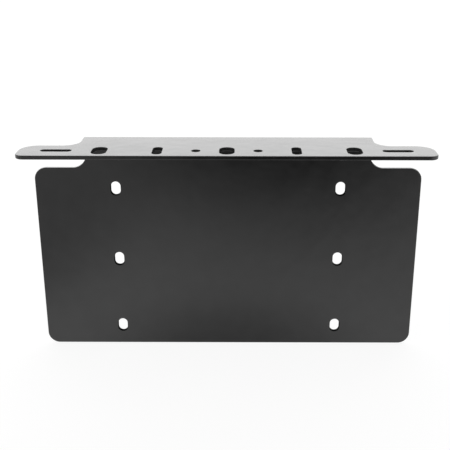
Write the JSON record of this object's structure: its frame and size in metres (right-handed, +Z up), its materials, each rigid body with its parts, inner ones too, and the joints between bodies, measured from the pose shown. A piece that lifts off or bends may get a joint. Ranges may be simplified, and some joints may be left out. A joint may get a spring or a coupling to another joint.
{
  "type": "number plate lamp bracket",
  "caption": "Folded sheet-metal bracket: an upright plate slotted to the number-plate grid, and a flange on top with rounded ears and a row of slots for lamps.",
  "frame": {"origin": "on the back face of the plate, at the centre of the grid of six slots", "axes": "+X along the fold, to the right as seen from the front; +Y out of the back face, towards the vehicle; +Z up, out of the flange's top face"},
  "size_m": [0.3048, 0.0575, 0.18],
  "materials": {
    "black_coat": "satin black powder coat with a fine orange-peel texture"
  },
  "bodies": {
    "root": {"bracket": "black_coat"}
  },
  "joints": []
}
